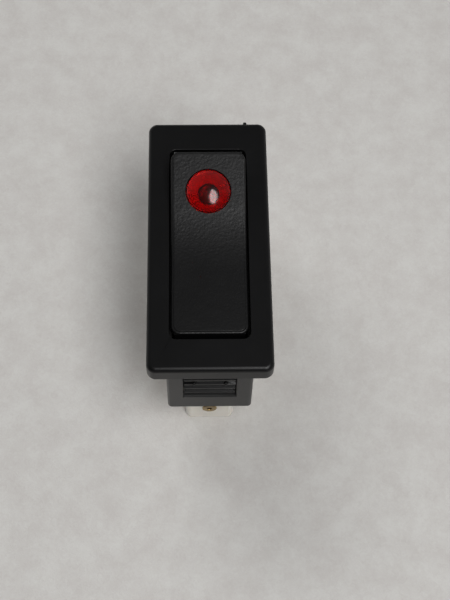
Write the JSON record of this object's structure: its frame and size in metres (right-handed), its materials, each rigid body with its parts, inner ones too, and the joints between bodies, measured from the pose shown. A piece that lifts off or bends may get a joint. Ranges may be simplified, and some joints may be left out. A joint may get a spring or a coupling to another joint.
{
  "type": "panel rocker switch",
  "caption": "Snap-in panel rocker switch with a dished rocker, a round red indicator lens and a shrouded connector below.",
  "frame": {"origin": "centre of the flange's rear face, which seats on the panel", "axes": "+Z out of the front of the panel, +Y along the switch towards its lens end, +X across it"},
  "size_m": [0.0226, 0.052, 0.0359],
  "materials": {
    "bezel_black": "satin black moulded plastic",
    "housing_charcoal": "satin charcoal moulded plastic",
    "base_cream": "natural cream nylon",
    "rocker_black": "finely grained black plastic",
    "lens_red": "clear red moulded plastic",
    "bulb_glass": "clear glass capsule",
    "carrier_charcoal": "dark moulded plastic",
    "brass": "plain brass",
    "tinned_strip": "tin-plated brass strip",
    "copper_alloy": "copper alloy strip",
    "silver_contact": "silver alloy",
    "spring_steel": "plated spring wire",
    "cap_metal": "nickel-plated cap",
    "plunger_brown": "brown phenolic moulding"
  },
  "bodies": {
    "switch_body": {"bezel_frame": "bezel_black", "housing": "housing_charcoal", "terminal_base": "base_cream", "end_rivet": "brass", "common_terminal": "tinned_strip", "load_terminal": "tinned_strip", "changeover_terminal": "tinned_strip", "lamp_terminal": "tinned_strip", "fixed_contact_far": "silver_contact", "fixed_contact_near": "silver_contact", "lamp_spring_feed": "spring_steel", "lamp_spring_return": "spring_steel"},
    "rocker_button": {"rocker": "rocker_black", "lens": "lens_red", "lamp_bulb": "bulb_glass", "lamp_cap": "cap_metal", "lamp_carrier": "carrier_charcoal", "contact_stud_feed": "brass", "contact_stud_return": "brass", "plunger_spring": "spring_steel"},
    "plunger_nose": {"plunger": "plunger_brown"},
    "see_saw": {"contact_arm": "copper_alloy", "moving_contact_far": "silver_contact", "moving_contact_near": "silver_contact"}
  },
  "joints": [
    {"name": "rocker_tilt", "type": "hinge", "parent": "switch_body", "child": "rocker_button", "pos_m": [0, 0, -0.0032], "axis": [1, 0, 0], "range_deg": [-16, 0], "deforming": ["lamp_spring_feed", "lamp_spring_return"]},
    {"name": "contact_tilt", "type": "hinge", "parent": "switch_body", "child": "see_saw", "pos_m": [0, 0, -0.01354], "axis": [1, 0, 0], "range_deg": [0, 12]},
    {"name": "plunger_slide", "type": "slide", "parent": "rocker_button", "child": "plunger_nose", "axis": [0, -0.1392, 0.9903], "range_m": [0, 0.0004], "stiffness_N_per_m": 20, "springref_m": -0.005, "deforming": ["plunger_spring"]}
  ],
  "couplings": [
    {"joint": "contact_tilt", "follows": "rocker_tilt", "ratio": -0.75}
  ]
}
